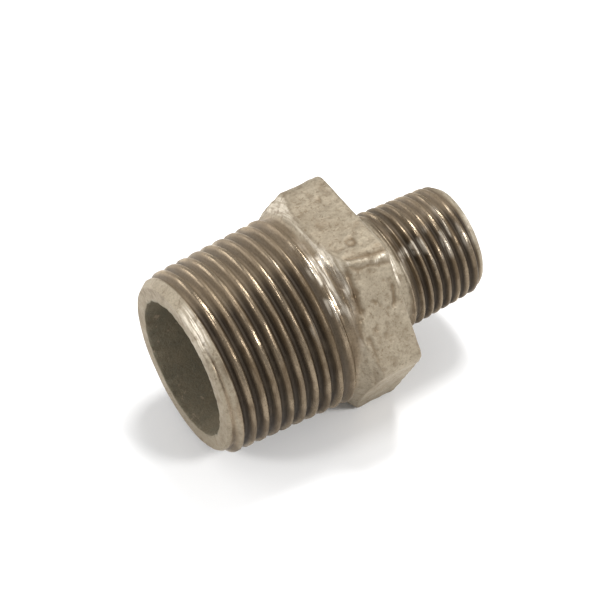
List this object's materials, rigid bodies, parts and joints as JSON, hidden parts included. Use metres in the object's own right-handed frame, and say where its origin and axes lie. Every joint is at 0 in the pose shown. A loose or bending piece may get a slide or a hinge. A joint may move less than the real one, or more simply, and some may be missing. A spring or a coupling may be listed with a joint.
{
  "type": "reducing hexagon nipple",
  "caption": "Galvanised iron pipe nipple that joins a larger female thread to a smaller one, with a male taper thread on each end, a hexagon between and a bore right through.",
  "frame": {"origin": "on the bore's axis, half-way between the two end faces", "axes": "+X along the bore from the large end to the small end; +Z out of one flat of the hexagon; +Y through one corner of the hexagon"},
  "size_m": [0.0536, 0.0402, 0.0356],
  "materials": {
    "galvanised_iron": "hot-dip galvanised casting, matt warm grey, with bare dark cut threads"
  },
  "bodies": {
    "root": {"nipple_body": "galvanised_iron"}
  },
  "joints": []
}
